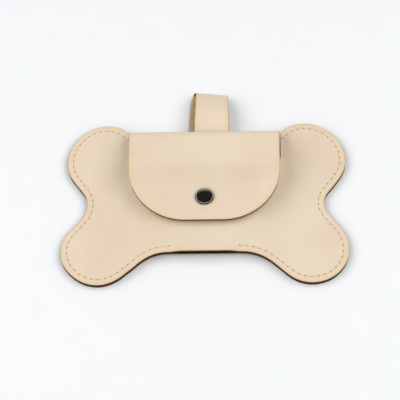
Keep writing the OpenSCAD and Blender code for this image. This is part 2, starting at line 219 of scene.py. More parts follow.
# where the knife left the pattern, in millimetres: place x and y, shift in x and y, and reach
CUTS = ((-74, 30, 0.75, 0.0, 15), (67, 9, 0.6, -0.6, 11), (66, 45, 0.0, 0.3, 10),
        (75, 24, 0.35, 0.0, 10), (-66, -9, 0.5, -0.55, 8), (-57, -46, 0.0, -0.5, 11),
        (-75, -31, -0.5, -0.1, 11), (-36, -36, 0.3, -0.35, 9))


def hand_cut(points):
    """Points moved sideways by each cut's shift, which fades as exp(-(distance / reach)^2)."""
    points = np.array(points, float)
    moved = points.copy()
    for x, y, dx, dy, reach in CUTS:
        near = np.exp(-((points[:, 0] - x) ** 2 + (points[:, 1] - y) ** 2) / reach ** 2)
        moved[:, 0] += dx * near
        moved[:, 1] += dy * near
    return moved


# ---- heights of the leather ----
DROOP_X = (16.0, 54.0)  # half lengths between which the bone sinks to the table
LIFT_Y = (16.0, 44.0)  # how far up the lobes' lift begins and is whole
LIFT_IN_X = (22.0, 46.0)  # half lengths between which that lift grows
LIFT_OUT_X = (42.0, 76.0)  # and between which it fades
SLOT_RISE = 19.0  # length of the rise from the slot to the snap
STUD_FOOT_R = 3.9
ROLL_RISE_Y = (SNAP_Y + STUD_FOOT_R + 1.4, ROLL_Y - 1.5)  # the rise from the snap to the roll
# half lengths, as (y, half length), where the front panel's swelling starts to fall and ends
SWELL_IN = ((-SHAFT_Y, SLOT_X - 6), (-12, 20), (5, ROLL_L / 2 + 0.6))
SWELL_OUT = ((-SHAFT_Y, SLOT_X + 0.4), (-12, 40), (5, MOUTH_X + 0.7), (20, MOUTH_X + 0.7),
             (MOUTH_Y, MOUTH_X + 1.2), (NECK_Y, MOUTH_X + 2.5))


def seat(x, y):
    """Underside of the back panel: over the strap, down at the ends, up beside the fold."""
    ax = np.abs(x)
    return (RISE * (1 - grown(ax, DROOP_X))
            + LOBE_LIFT * grown(y, LIFT_Y) * grown(ax, LIFT_IN_X) * (1 - grown(ax, LIFT_OUT_X)))


def swell(x, y):
    """How far the front panel stands off the back one: slot, snap, roll; falling sideways."""
    inner = np.interp(y, *zip(*SWELL_IN))
    outer = np.interp(y, *zip(*SWELL_OUT))
    across = 1 - grown(np.abs(x), (inner, outer))
    low = SLOT_H + (SNAP_SWELL - SLOT_H) * np.clip((y + SHAFT_Y) / SLOT_RISE, 0, 1)
    return across * (low + (ROLL_SWELL - SNAP_SWELL + RISE - seat(x, y)) * grown(y, ROLL_RISE_Y))


def front_under(x, y):
    """Underside of the front panel."""
    return seat(x, y) + LEATHER_T + LAY_GAP + swell(x, y)


def front_top(x, y):
    """Grain side of the front panel."""
    return front_under(x, y) + LEATHER_T


def flap_under(y):
    """Underside of the flap along the bone's middle: over the roll, then down to the snap."""
    yy = np.minimum(y, MOUTH_Y)
    return (SEWN_Z + swell(0.0, yy) + LEATHER_T + SOFT_GAP
            + (SNAP_STACK - SOFT_GAP) * (1 - grown(yy, ROLL_RISE_Y)))


# ---- meshes ----
def linked(scene, name, data):
    """A new object in a scene."""
    obj = bpy.data.objects.new(name, data)
    scene.collection.objects.link(obj)
    return obj


def make_object(name, points, quads, tris=(), attributes=None, weld=False):
    """A smooth mesh object from millimetre points and faces; attributes are named values a point.

    weld joins points that lie on each other, where a surface closes on a line.
    """
    faces = [tuple(f) for group in (quads, tris) for f in np.asarray(group).tolist()]
    mesh = bpy.data.meshes.new(name)
    mesh.from_pydata((np.asarray(points) * MM).tolist(), [], faces)
    for key, values in (attributes or {}).items():
        layer = mesh.attributes.new(key, "FLOAT", "POINT")
        layer.data.foreach_set("value", np.asarray(values, np.float32))
    if weld:
        shell = bmesh.new()
        shell.from_mesh(mesh)
        bmesh.ops.remove_doubles(shell, verts=shell.verts, dist=1e-6)
        shell.to_mesh(mesh)
        shell.free()
    mesh.update()
    mesh.polygons.foreach_set("use_smooth", np.ones(len(mesh.polygons), bool))
    return linked(bpy.context.scene, name, mesh)


def grid_quads(rows, cols, wrap):
    """Quads of a grid of rows by cols points; wrap closes it along the columns."""
    i = np.arange(rows - 1)[:, None]
    j = np.arange(cols if wrap else cols - 1)[None, :]
    k = (j + 1) % cols
    return np.stack([i * cols + j, i * cols + k, (i + 1) * cols + k, (i + 1) * cols + j],
                    axis=-1).reshape(-1, 4)


def fan(hub, start, count, backward=False):
    """Triangles from the point hub to a closed ring of count points that begins at start."""
    j = start + np.arange(count)
    k = start + (np.arange(count) + 1) % count
    return np.column_stack([np.full(count, hub), k, j] if backward else [np.full(count, hub), j, k])


EDGE_R = 0.35  # rounding of a leather edge
EDGE_STEPS = np.radians([90, 60, 30, 0])  # angles of its rows, from the face to the rim
CUT_BAND = 0.06  # the cut edge's colour keeps this far off both faces
FAR_IN = 40  # rim distance given to a sheet's middle point


def leather_sheet(name, rim, core, hub, place, thickness, grain_up, rows=30):
    """A closed sheet of leather with rounded edges.

    Its plan is rows of the rim drawn in, first by the edge's rounding and then in equal shares
    to the core line and from there to the hub; with no hub, the sheet closes on the core line.
    place(x, y) gives the underside and the direction of the thickness, and each plan point is
    carried there twice, low and high.
    """
    n = len(rim)
    tangent = unit(np.roll(rim, -1, axis=0) - np.roll(rim, 1, axis=0))
    inward = np.column_stack([-tangent[:, 1], tangent[:, 0]])
    edge_in = EDGE_R * (1 - np.cos(EDGE_STEPS))
    edge_up = EDGE_R * (1 - np.sin(EDGE_STEPS))
    start = rim + inward * EDGE_R
    # rows of the plan from the hub outwards; two thirds of them lie between core and rim
    outer = np.linspace(1, 0, (rows if hub is None else rows * 2 // 3) + 1)[:, None, None]
    plan = start + (core - start) * outer
    if hub is not None:
        inner = np.linspace(1, 0, rows // 3 + 1)[1:, None, None]
        plan = np.concatenate([(core + (hub - core) * inner)[:-1], plan])
    # the rounding, from the inset line to the rim
    round_plan = rim + inward * edge_in[:, None, None]
    low_plan = np.concatenate([plan, round_plan[1:]])
    low_up = np.concatenate([np.zeros(len(plan)), edge_up[1:]])
    rows_plan = np.concatenate([low_plan, low_plan[::-1]])
    rows_up = np.concatenate([low_up, thickness - low_up[::-1]])
    flat = rows_plan.reshape(-1, 2)
    base, direction = place(flat[:, 0], flat[:, 1])
    points = base + direction * np.repeat(rows_up, n)[:, None]
    quads = grid_quads(len(rows_plan), n, True)
    # distance to the rim, the flesh side and the cut edge, as values for the material
    reach = np.linalg.norm(rows_plan - rim, axis=2).reshape(-1)
    is_up = np.repeat(rows_up > thickness / 2, n)
    flesh = np.where(is_up == grain_up, 0.0, 1.0)
    cut = np.repeat((rows_up > CUT_BAND) & (rows_up < thickness - CUT_BAND), n).astype(float)
    values = {"rim_mm": reach, "flesh": flesh, "cut": cut}
    if hub is None:
        return make_object(name, points, quads, (), values, weld=True)
    hub_base, hub_direction = place(np.array([hub[0]]), np.array([hub[1]]))
    points = np.vstack([points, hub_base, hub_base + hub_direction * thickness])
    tris = np.vstack([fan(len(points) - 2, 0, n, backward=True),
                      fan(len(points) - 1, (len(rows_plan) - 1) * n, n)])
    ends = {"rim_mm": [FAR_IN, FAR_IN], "flesh": [float(grain_up), float(not grain_up)],
            "cut": [0, 0]}
    values = {key: np.concatenate([v, ends[key]]) for key, v in values.items()}
    return make_object(name, points, quads, tris, values)


CORE_Y = 0.6 * MOUTH_Y  # half width of the band that a panel's rows close up to
CORE_TIGHT = 0.96  # how its points stand to the rim's, along the bone: at the mouth
CORE_WIDE = 1.1  # and elsewhere


def panel_core(rim, edge_y):
    """The line halfway in, to which a panel's rows close up: a band along the bone's middle."""
    ax = np.abs(rim[:, 0])
    step = np.clip((rim[:, 1] - edge_y) / (NECK_Y - edge_y), 0, 1)
    k = np.where(rim[:, 1] > 0, CORE_TIGHT + (CORE_WIDE - CORE_TIGHT) * step, CORE_WIDE)
    middle = ax <= MOUTH_X + 0.01
    cx = np.where(middle, ax * k, MOUTH_X * CORE_WIDE + (ax - MOUTH_X) / 4)
    cy = np.where(middle, CORE_Y, CORE_Y * np.minimum(1, np.abs(rim[:, 1]) / NECK_Y))
    return np.column_stack([np.sign(rim[:, 0]) * cx, np.sign(rim[:, 1]) * cy])


def upright(heights):
    """A place function for a panel: the given heights, with the thickness straight up."""
    def place(x, y):
        base = hand_cut(np.column_stack([x, y, heights(x, y)]))
        return base, np.broadcast_to([0.0, 0.0, 1.0], base.shape)
    return place


# ---- materials ----
def srgb(r, g, b):
    """A colour written in 0..255 display values, as the linear values that shaders take."""
    c = np.array([r, g, b]) / 255
    return (*np.where(c <= 0.04045, c / 12.92, ((c + 0.055) / 1.055) ** 2.4), 1.0)


class Nodes:
    """A material's or world's node tree, with short calls for the few nodes used here."""

    def __init__(self, owner):
        owner.use_nodes = True
        self.owner, self.tree = owner, owner.node_tree

    def add(self, kind, inputs=None, **settings):
        """A new node with its inputs, as values or as sockets to link, and its settings."""
        node = self.tree.nodes.new(kind)
        for key, value in settings.items():
            setattr(node, key, value)
        for key, value in (inputs or {}).items():
            self.put(node.inputs[key], value)
        return node

    def put(self, socket, value):
        if isinstance(value, bpy.types.NodeSocket):
            self.tree.links.new(value, socket)
        else:
            socket.default_value = value

    def coords(self):
        return self.add("ShaderNodeTexCoord").outputs["Object"]

    def value(self, name):
        return self.add("ShaderNodeAttribute", attribute_name=name).outputs["Fac"]

    def noise(self, scale, detail=3.0, vector=None, roughness=0.5):
        inputs = {"Vector": vector or self.coords(), "Scale": scale, "Detail": detail,
                  "Roughness": roughness}
        return self.add("ShaderNodeTexNoise", inputs).outputs["Fac"]

    def ramp(self, factor, low, high, to_low=0.0, to_high=1.0):
        inputs = {"Value": factor, "From Min": low, "From Max": high, "To Min": to_low,
                  "To Max": to_high}
        return self.add("ShaderNodeMapRange", inputs,
                        interpolation_type="SMOOTHSTEP").outputs["Result"]

    def spread(self, noise, to_low=0.0, to_high=1.0):
        """A noise's usual range, stretched to to_low..to_high."""
        return self.ramp(noise, 0.3, 0.7, to_low, to_high)

    def stretched(self, scale):
        """Coordinates scaled unevenly, for noise that runs in one direction."""
        return self.add("ShaderNodeMapping", {"Vector": self.coords(),
                                              "Scale": scale}).outputs["Vector"]

    def math(self, operation, *values):
        return self.add("ShaderNodeMath", dict(enumerate(values)), operation=operation).outputs[0]

    def mix(self, factor, a, b):
        """A mix of two colours."""
        return self.add("ShaderNodeMix", {0: factor, 6: a, 7: b}, data_type="RGBA").outputs[2]

    def bump(self, height, distance, strength):
        inputs = {"Height": height, "Distance": distance, "Strength": strength}
        return self.add("ShaderNodeBump", inputs).outputs["Normal"]

    def finish(self, **inputs):
        """Sets the shader's inputs, named with _ for each space, and gives the material."""
        shader = self.tree.nodes["Principled BSDF"]
        for key, value in inputs.items():
            self.put(shader.inputs[key.replace("_", " ")], value)
        return self.owner


SLOT_SHADE_Y = (-0.026, -0.021)  # in metres; between these the painted shade inside the slot fades out


def leather_material(c):
    """Pale natural leather: smooth grain side, fuzzy flesh side, dark cut edge, tan near the rim;
    painted shade inside the slot.

    The mesh gives each point's distance to the rim in millimetres, its side and its cut edge.
    """
    m = Nodes(bpy.data.materials.new("natural leather"))
    at = m.coords()
    rim, flesh, cut = m.value("rim_mm"), m.value("flesh"), m.value("cut")
    # grain side: clouds and small pores
    cloud = m.noise(28.0, 4.0, at, 0.55)
    fleck = m.noise(900.0, 3.0, at, 0.6)
    grain = m.mix(m.spread(cloud), c.grain_dark, c.grain)
    grain = m.mix(m.ramp(fleck, 0.35, 0.75, 0.0, 0.10), grain, c.pore)
    # a tan band that wanders 1.5 mm in and out with the clouds, then a narrow scorched line
    wander = m.math("MULTIPLY_ADD", cloud, 3.0, -1.5)
    near = m.ramp(m.math("ADD", rim, wander), 0.3, 3.8, 0.62, 0.0)
    grain = m.mix(near, grain, c.rim)
    grain = m.mix(m.ramp(rim, 0.2, 0.9, 0.4, 0.0), grain, c.scorch)
    # flesh side: fibres, darker in their hollows, partly the fibres' own tone and partly painted
    # shade
    fibre = m.noise(420.0, 5.0, at, 0.7)
    inside = m.mix(m.spread(fibre), c.flesh_dark, c.flesh)
    along_y = m.add("ShaderNodeSeparateXYZ", {"Vector": at}).outputs["Y"]
    # painted shade inside the slot: the flesh side is painted dark near the rim, fading out above
    # the slot
    slot_shade = m.math("MULTIPLY", m.ramp(rim, 2.0, 7.0, 1.0, 0.0),
                  m.ramp(along_y, *SLOT_SHADE_Y, 1.0, 0.0))
    inside = m.mix(slot_shade, inside, c.edge_dark_and_slot_shade)
    colour = m.mix(flesh, grain, inside)
    # cut edge
    smear = m.noise(600.0, 3.0, at, 0.6)
    edge = m.mix(m.spread(smear), c.edge_dark_and_slot_shade, c.edge)
    colour = m.mix(m.ramp(cut, 0.35, 0.65), colour, edge)
    # pebbled grain and fuzzy flesh, as bumps and as roughness
    cells = m.add("ShaderNodeTexVoronoi", {"Vector": at, "Scale": 1500.0, "Randomness": 1.0},
                  feature="SMOOTH_F1").outputs["Distance"]
    bumps = {0: flesh, 4: m.bump(cells, 0.00005, 0.35), 5: m.bump(fibre, 0.00025, 0.6)}
    rough = {0: flesh, 2: m.spread(cloud, 0.46, 0.58), 3: 0.9}
    return m.finish(Base_Color=colour,
                    Roughness=m.add("ShaderNodeMix", rough, data_type="FLOAT").outputs[0],
                    Normal=m.add("ShaderNodeMix", bumps, data_type="VECTOR").outputs[1])


def thread_material(c):
    """Waxed two-ply thread: fine strands along it, painted shade between them, and a soft sheen."""
    m = Nodes(bpy.data.materials.new("waxed thread"))
    strand = m.noise(2600.0, 2.0)
    # darker between the strands, in the bump's hollows: painted shade
    colour = m.mix(m.spread(strand), c.thread_dark, c.thread)
    return m.finish(Base_Color=colour, Roughness=m.spread(strand, 0.42, 0.6),
                    Normal=m.bump(strand, 0.00006, 0.5))


def hole_material(c):
    """A stitch hole's inside, painted dark as the hole's shade, which fades into the grain at its
    rim.
    """
    m = Nodes(bpy.data.materials.new("stitch hole"))
    hole_mottle = m.noise(3000.0, 3.0)
    # painted shade of the hole, mottled and darkest in the bump's hollows
    dark = m.mix(m.spread(hole_mottle), c.hole_dark, c.hole)
    # each point's cut value is its share of the painted shade
    colour = m.mix(m.value("cut"), c.grain, dark)
    return m.finish(Base_Color=colour, Roughness=m.spread(hole_mottle, 0.6, 0.8),
                    Normal=m.bump(hole_mottle, 0.00005, 0.4))


def metal_material(name, metal, rough_low, rough_high, scratch):
    """Plated sheet metal: roughness that wanders, and hairline scratches as a faint bump."""
    m = Nodes(bpy.data.materials.new(name))
    haze = m.noise(380.0, 4.0)
    lines = m.noise(2200.0, 2.0, m.stretched((1.0, 0.12, 1.0)))
    dull = (metal[0] * 0.8, metal[1] * 0.78, metal[2] * 0.75, 1.0)
    return m.finish(Base_Color=m.mix(m.ramp(haze, 0.35, 0.7, 0.0, 0.25), metal, dull),
                    Metallic=1.0, Roughness=m.spread(haze, rough_low, rough_high),
                    Normal=m.bump(lines, 0.00002, scratch))


def film_material(c):
    """Thin black plastic film: satin, with fine wrinkles, painted darker in their hollows as shade.
    """
    m = Nodes(bpy.data.materials.new("bag film"))
    crease = m.noise(260.0, 6.0, m.stretched((0.35, 1.0, 1.0)), 0.65)
    # darker in the wrinkles' hollows: painted shade
    colour = m.mix(m.ramp(crease, 0.35, 0.7), c.film_dark, c.film)
    return m.finish(Base_Color=colour, Roughness=m.spread(crease, 0.28, 0.45),
                    Normal=m.bump(crease, 0.0003, 0.7))


def dress(obj, finish, slot_name, *nodes):
    """Puts a piece's material on it, and hides the solids that it stands for; slot_name is not
    used.
    """
    obj.data.materials.append(finish)
    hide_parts(*nodes)
    return obj


def repaint(node, finish):
    """Gives a kept solid its material."""
    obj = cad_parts[node]
    obj.data.materials.clear()
    obj.data.materials.append(finish)


# ---- settings ----
def colour_setting(name, words, r, g, b):
    """A colour setting with its default in 0..255 display values."""
    return bpy.props.FloatVectorProperty(name=name, description=words, size=4, min=0.0, max=1.0,
                                         subtype="COLOR", default=srgb(r, g, b))


class PouchColours(bpy.types.PropertyGroup):
    """The colours of the pouch and its bags"""
    grain: colour_setting("Grain side", "Light tone of the leather's smooth side", 234, 217, 193)
    grain_dark: colour_setting("Grain side, dark", "Dark tone of its clouds", 230, 209, 184)
    pore: colour_setting("Pores", "Flecks in the grain", 209, 182, 148)
    rim: colour_setting("Near the rim", "Tan that the cut edge fades into", 231, 206, 167)
    scorch: colour_setting("At the rim", "Narrow darker line along the cut", 202, 164, 117)
    edge: colour_setting("Cut edge", "Light tone of the burnished edge", 80, 38, 11)
    # also the painted shade inside the slot
    edge_dark_and_slot_shade: colour_setting("Cut edge, dark", "Dark tone of the burnished edge", 45, 20, 6)
    flesh: colour_setting("Flesh side", "Light tone of the fuzzy side", 211, 186, 148)
    # partly the fibres' own tone, partly painted shade in their hollows
    flesh_dark: colour_setting("Flesh side, dark", "Dark tone of its fibres", 184, 155, 115)
    thread: colour_setting("Thread", "Light tone of the thread", 232, 212, 182)
    # the painted shade between the thread's strands
    thread_dark: colour_setting("Thread, dark", "Dark tone between its strands", 216, 190, 155)
    # tones of the painted shade inside a stitch hole
    hole: colour_setting("Stitch hole", "Light tone inside a hole", 184, 138, 94)
    hole_dark: colour_setting("Stitch hole, dark", "Dark tone inside a hole", 146, 101, 61)
    film: colour_setting("Bag film", "Light tone of the bags", 44, 46, 46)
    # the painted shade in the wrinkles' hollows
    film_dark: colour_setting("Bag film, dark", "Dark tone of the bags", 20, 22, 22)
    metal: colour_setting("Snap metal", "Tone of the plated snap", 214, 213, 210)


class PouchStage(bpy.types.PropertyGroup):
    """The camera, the lamps and the table"""
    lens: bpy.props.FloatProperty(name="Lens", description="Focal length of the camera",
                                  default=119.97, min=20.0, max=300.0, subtype="DISTANCE_CAMERA")
    distance: bpy.props.FloatProperty(name="Distance", description="From the camera to its target",
                                      default=0.701, unit="LENGTH")
    side_watts: bpy.props.FloatProperty(name="Side lamps", description="Power of each side lamp",
                                        default=6.35, min=0.0, subtype="POWER")
    sky: bpy.props.FloatProperty(name="Sky", description="Strength of the even light all round",
                                 default=0.31, min=0.0)
    floor: colour_setting("Floor", "Colour of the table", 244, 246, 248)


MAKERS = {
    "leather": leather_material,
    "thread": thread_material,
    "hole": hole_material,
    "cap": lambda c: metal_material("polished cap", c.metal, 0.06, 0.12, 0.10),
    "snap": lambda c: metal_material("plated snap", c.metal, 0.22, 0.38, 0.35),
    "film": film_material,
}
MADE = {}


def material(name):
    """The named material, made once from the scene's colour settings."""
    if name not in MADE:
        settings = bpy.context.scene.pouch_colours
        plain = {key: tuple(getattr(settings, key)) for key in PouchColours.__annotations__}
        MADE[name] = MAKERS[name](SimpleNamespace(**plain))
    return MADE[name]


# ---- the pieces ----
STEP = 1.15  # distance of the points along a leather rim


class POUCH_OT_panels(bpy.types.Operator):
    """Make the back and front panels of leather, each a closed sheet over its height function"""
    bl_idname = "pouch.panels"
    bl_label = "Leather Panels"

    def execute(self, context):
        for name, node, edge_y, heights, grain_up in (
                ("back_leather", "back_panel", BACK_Y, seat, False),
                ("front_leather", "front_panel", MOUTH_Y, front_under, True)):
            rim = panel_outline(edge_y, STEP)
            obj = leather_sheet(name, rim, panel_core(rim, edge_y), np.zeros(2), upright(heights),
                                LEATHER_T, grain_up)
            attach(dress(obj, material("leather"), "leather", node), "pouch")
        return {"FINISHED"}


def flap_profile():
    """The flap's inner line as [y, z], from the back panel round the fold to the tip."""
    radius = FOLD_RO - LEATHER_T
    start = [BACK_Y + LAY_GAP, RISE + LEATHER_T]
    bend = polar((FOLD_Y, FOLD_Z), radius, np.linspace(-90, 90, 61))
    ys = np.linspace(FOLD_Y, -FLAP_REACH, 120)[1:]
    top = np.column_stack([ys, flap_under(ys)])
    return np.vstack([start, bend, top])


FLAP_AT_X = -0.2  # the flap sits this far off the bone's middle
FLAP_NARROWER = 0.4  # and is cut this much narrower, so only its right edge moves in
DIMPLE, DIMPLE_R = 0.22, 6.5  # the cap presses the leather down round it
FLAP_HUB, FLAP_CORE = 0.55, 0.45  # where its rows meet along the profile, and its core's size


class POUCH_OT_flap(bpy.types.Operator):
    """Make the flap and its fold from one sheet, bent along its profile"""
    bl_idname = "pouch.flap"
    bl_label = "Flap"

    def execute(self, context):
        line = flap_profile()
        length, slope, _ = offset_frame(line)
        total, half, r = length[-1], FLAP_W / 2, FLAP_CORNER_R
        right = chained(straight([half, 0.0], [half, total - r], STEP),
                        arc((half - r, total - r), r, 0, 90, STEP))
        left = right[::-1] * [-1, 1]
        rim = chained(right, straight(right[-1], left[0], STEP), left,
                      straight(left[-1], right[0], STEP))[:-1]
        hub = np.array([0.0, total * FLAP_HUB])
        core = hub + (rim - hub) * FLAP_CORE

        def place(x, s):
            """Carries plan point (x, s) to distance s along the profile, thickness outwards."""
            y, z = (np.interp(s, length, line[:, k]) for k in (0, 1))
            ty, tz = (np.interp(s, length, slope[:, k]) for k in (0, 1))
            out = unit(np.column_stack([np.zeros_like(x), tz, -ty]))
            near = np.exp(-((x / DIMPLE_R) ** 2 + ((y - SNAP_Y) / DIMPLE_R) ** 2) ** 2)
            z = z - np.where(s > total / 2, DIMPLE * near, 0.0)
            return np.column_stack([x + FLAP_AT_X - FLAP_NARROWER * x / FLAP_W, y, z]), out

        obj = leather_sheet("flap_leather", rim, core, hub, place, LEATHER_T, True, rows=42)
        dress(obj, material("leather"), "leather", "flap", "back_fold")
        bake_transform(obj)
        return {"FINISHED"}


STRAP_W = 19.0
STRAP_CORNER_R = 1.2
STRAP_X = 3.7  # place of the front run, beside the bone's middle
STRAP_SKEW = 3.4  # how far the back run is set off to the side
STRAP_END = 14.0  # length of the sewn ends below the bone's middle
DRIFT_FROM, DRIFT_L = -1.6, 4.2  # where that starts, from the crease, and how fast it grows
LOOP_Y = 67.7  # outer end of the loop
LOOP_BULGE = 16.0  # height of the hump, as a curve handle
HUMP_Y = (2.0, 7.0, 14.0)  # its start and handles, from where the strap swings
BEND_R = 1.1 + STRAP_T / 2
BEND_C = np.array([LOOP_Y - BEND_R - STRAP_T / 2, STRAP_T / 2 + BEND_R])
BEND_TILT = 60.0  # where the hump meets the bend
CREASE_TILT, CREASE_L = 0.108, 16.0  # slope of the crease across the strap, and its reach
# how far the edges are cut in, and over what length from the crease
LEFT_IN, LEFT_L = 0.65, 20
RIGHT_IN, RIGHT_CREASE_IN, RIGHT_L = 0.35, 0.6, 9


def strap_line():
    """The strap's middle line as [y, z]: upper sewn end, hump, tight bend and lower run."""
    upper = STRAP_T * 1.5 + STRAP_GAP
    p = [np.array([SWING_Y + y, z]) for y, z in zip(HUMP_Y, (upper, upper, LOOP_BULGE))]
    p.append(polar(BEND_C, BEND_R, BEND_TILT)[0])
    t = np.linspace(0, 1, 60)[:, None]
    hump = ((1 - t) ** 3 * p[0] + 3 * t * (1 - t) ** 2 * p[1] + 3 * t * t * (1 - t) * p[2]
            + t ** 3 * p[3])
    bend = polar(BEND_C, BEND_R, np.linspace(BEND_TILT, -90, 40))
    return chained(straight(np.array([-STRAP_END, upper]), p[0], 1.0), hump, bend,
                   straight(bend[-1], np.array([-STRAP_END, STRAP_T / 2]), 1.0))


def offset_frame(line):
    """Distances along a [y, z] line, its unit tangents and its normals on the left."""
    length = along(line)
    tangent = unit(np.gradient(line, length, axis=0))
    return length, tangent, np.column_stack([-tangent[:, 1], tangent[:, 0]])


class POUCH_OT_strap(bpy.types.Operator):
    """Make the hanging strap: one band along its folded path, both ends under the back panel"""
    bl_idname = "pouch.strap"
    bl_label = "Hanging Strap"

    def execute(self, context):
        line = strap_line()
        length, _, normal = offset_frame(line)
        total, half, r = length[-1], STRAP_W / 2, STRAP_CORNER_R
        crease = length[np.argmax(line[:, 0])]
        # the flat strap, anticlockwise: each rounded corner, then the side after it
        corners = [arc(centre, r, 90 * k, 90 * k + 90, 0.4) for k, centre in enumerate(
            ((half - r, total - r), (r - half, total - r), (r - half, r), (half - r, r)))]
        rim = chained(*(run for k, corner in enumerate(corners) for run in (
            corner, straight(corner[-1], corners[(k + 1) % 4][0], (0.9, 0.5)[k % 2]))))[:-1]
        core = np.column_stack([rim[:, 0] * 0, np.clip(rim[:, 1], half * 0.7, total - half * 0.7)])

        def place(x, s):
            """Carries (x, s) to the strap's inner side.

            The lower run drifts sideways, the crease is a little out of square and the edges
            are cut in near it.
            """
            y, z = (np.interp(s, length, line[:, k]) for k in (0, 1))
            ny, nz = (np.interp(s, length, normal[:, k]) for k in (0, 1))
            s = s - crease
            drift = STRAP_SKEW * (1 - np.exp(-np.maximum(s - DRIFT_FROM, 0) / DRIFT_L))
            near = np.exp(-(s / RIGHT_L) ** 2)
            left = -half + LEFT_IN * np.exp(-(s / LEFT_L) ** 4)
            right = half - RIGHT_IN * np.where(s < 0, 1.0, near) - RIGHT_CREASE_IN * near
            across = (left + right) / 2 + (right - left) * x / (2 * half)
            slant = CREASE_TILT * x * np.exp(-(s / CREASE_L) ** 2)
            base = np.column_stack([STRAP_X - drift + across, y - slant, z])
            out = unit(np.column_stack([np.zeros_like(x), ny, nz]))
            return base - out * STRAP_T / 2, out

        obj = leather_sheet("strap_leather", rim, core, None, place, STRAP_T, True, rows=9)
        dress(obj, material("leather"), "leather", "hanging_loop", "loop_strap_ends")
        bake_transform(obj)
        return {"FINISHED"}


# ---- stitches ----
THREAD_R = 0.21
THREAD_SINK, THREAD_ARCH = 0.30, 0.33  # depth of a stitch's ends, and its rise from there
THREAD_START = 0.06  # share of a stitch's length left free at each end
PLY_SWELL = 0.12  # how much the two plies change the radius
PLY_TURNS = 5  # quarter turns of the two plies along a stitch
# rings of a stitch hole: radius, height over the leather, and how much painted shade they take
HOLE_R = np.array([0.15, 0.30, 0.40, 0.52, 0.70])
HOLE_Z = np.array([0.010, 0.012, 0.045, 0.050, -0.03])
HOLE_SHADE = np.array([1.0, 1.0, 0.7, 0.1, 0.0])
HOLE_LONG, HOLE_WIDE = 1.15, 0.85  # their stretch along the seam and across it


def seam_path(side):
    """The seam of one side, from the end of the slot round both lobes to the mouth's corner."""
    low = shaft_run(SEAM_INSET, 0.5)
    low = np.vstack([low[low[:, 0] > SLOT_X], [SLOT_X, SHAFT_Y - SEAM_INSET]]) * [1, -1]
    up = end_run(SEAM_INSET, 0.5)
    top = np.array([[MOUTH_X + 1, flank_y(MOUTH_X + 1, SEAM_INSET)]])
    return np.vstack([low[::-1], up[1:], top]) * [side, 1]


def lifted(path, s, heights, up):
    """Points at distances s along a seam, on a surface, with the surface's outward normals."""
    x, y = resampled(path, s).T
    d = 0.05
    slope_x = (heights(x + d, y) - heights(x - d, y)) / (2 * d)
    slope_y = (heights(x, y + d) - heights(x, y - d)) / (2 * d)
    normal = np.column_stack([-slope_x, -slope_y, np.ones_like(x)]) * up
    return np.column_stack([x, y, heights(x, y)]), unit(normal)


def repeated(points, quads, tris):
    """One small mesh's faces for each of many copies, given as points[copy, point, axis]."""
    base = (np.arange(len(points)) * points.shape[1])[:, None, None]
    return (hand_cut(points.reshape(-1, 3)), (quads + base).reshape(-1, 4),
            (tris + base).reshape(-1, 3))


def stitches(path, heights, up):
    """Every stitch of a seam at once: a two-ply tube that arches from hole to hole.

    Its line dips into the leather at both ends, u = 0 and 1, and stands barely proud in the
    middle; round it runs a ring whose radius swells twice a turn, and turns as u grows.
    """
    total = along(path)[-1]
    count = int(total // STITCH_PITCH)
    rings, sides = 9, 8
    u = np.linspace(0, 1, rings + 2)
    share = THREAD_START + (1 - 2 * THREAD_START) * u
    s = (np.arange(count)[:, None] + share) * (total / count)
    centre, normal = (a.reshape(count, rings + 2, 3) for a in lifted(path, s.ravel(), heights, up))
    arch = -THREAD_SINK + THREAD_ARCH * np.sqrt(np.sin(np.pi * u))
    centre = centre + normal * arch[None, :, None]
    tangent = unit(np.gradient(centre, axis=1))
    across = unit(np.cross(normal, tangent))
    rise = np.cross(tangent, across)
    turn = np.arange(sides) * 2 * np.pi / sides
    plies = PLY_SWELL * np.cos(2 * turn[None, :] - PLY_TURNS * np.pi * u[1:-1, None])
    radius = THREAD_R * (1 - PLY_SWELL + plies)
    ring = (centre[:, 1:-1, None] + rise[:, 1:-1, None] * (radius * np.cos(turn))[..., None]
            + across[:, 1:-1, None] * (radius * np.sin(turn))[..., None])
    points = np.concatenate([ring.reshape(count, -1, 3), centre[:, :1], centre[:, -1:]], axis=1)
    tris = np.vstack([fan(rings * sides, 0, sides),
                      fan(rings * sides + 1, (rings - 1) * sides, sides, backward=True)])
    return repeated(points, grid_quads(rings, sides, True)[:, ::-1], tris)


def holes(path, heights, up):
    """The hole at each end of each stitch: an oval painted with the hole's shade, with a puckered
    rim, as rings of points.
    """
    total = along(path)[-1]
    s = np.linspace(0, total, int(total // STITCH_PITCH) + 1)
    centre, normal = lifted(path, s, heights, up)
    ends = [lifted(path, np.clip(s + d, 0, total), heights, up)[0] for d in (-0.2, 0.2)]
    tangent = unit(ends[1] - ends[0])
    across = np.cross(normal, tangent)
    sides = 12
    turn = np.arange(sides) * 2 * np.pi / sides
    ring = (centre[:, None, None] + normal[:, None, None] * HOLE_Z[:, None, None]
            + tangent[:, None, None] * (HOLE_LONG * HOLE_R[:, None] * np.cos(turn))[..., None]
            + across[:, None, None] * (HOLE_WIDE * HOLE_R[:, None] * np.sin(turn))[..., None])
    hub = centre[:, None] + normal[:, None] * HOLE_Z[0]
    points = np.concatenate([ring.reshape(len(s), -1, 3), hub], axis=1)
    # each point's share of the painted shade, carried as the cut value
    dark = np.tile(np.concatenate([np.repeat(HOLE_SHADE, sides), [1.0]]), len(s))
    quads = grid_quads(len(HOLE_R), sides, True)[:, ::-1]
    return (*repeated(points, quads, fan(len(HOLE_R) * sides, 0, sides)), dark)


def joined(parts):
    """Several (points, quads, tris) as one."""
    starts = np.cumsum([0] + [len(p[0]) for p in parts[:-1]])
    return [np.vstack([p[k] + start * (k > 0) for p, start in zip(parts, starts)])
            for k in range(3)]


